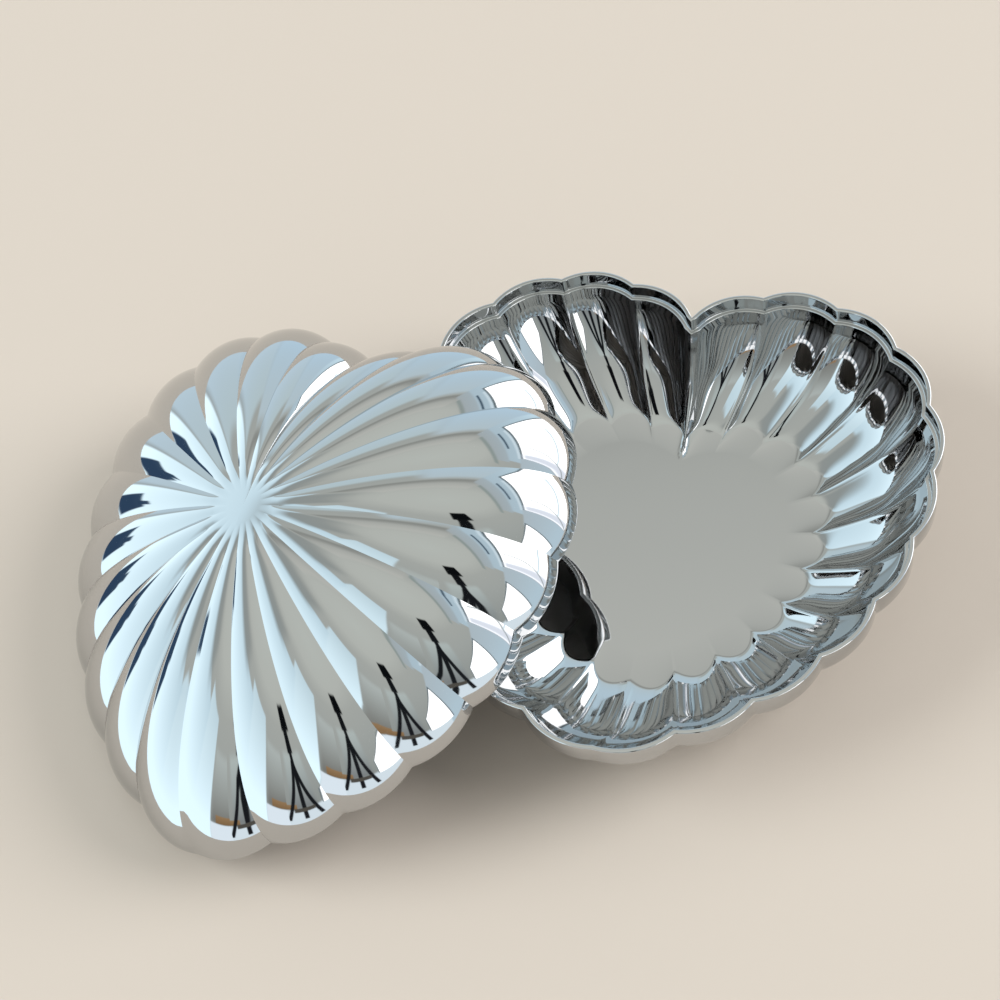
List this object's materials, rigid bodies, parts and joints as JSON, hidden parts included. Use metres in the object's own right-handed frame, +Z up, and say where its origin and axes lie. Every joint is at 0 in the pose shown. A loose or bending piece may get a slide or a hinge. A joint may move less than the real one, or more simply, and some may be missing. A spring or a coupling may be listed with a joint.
{
  "type": "heart-shaped lidded bonbonniere",
  "caption": "Fluted heart-shaped sweet box in polished silver-coloured metal: an open dish with its lift-off domed lid leaning on the rim.",
  "frame": {"origin": "point of the dish's flat underside that all its flutes aim at, on the table", "axes": "+Z up; +Y from the heart's tip towards its notch; +X across the dish, away from the leaning lid"},
  "size_m": [0.1949, 0.1539, 0.0573],
  "materials": {
    "polished_silver": "mirror polished silver plate, faint polishing lines and small rubs on the petal crowns"
  },
  "bodies": {
    "root": {"dish": "polished_silver", "lid": "polished_silver"}
  },
  "joints": []
}
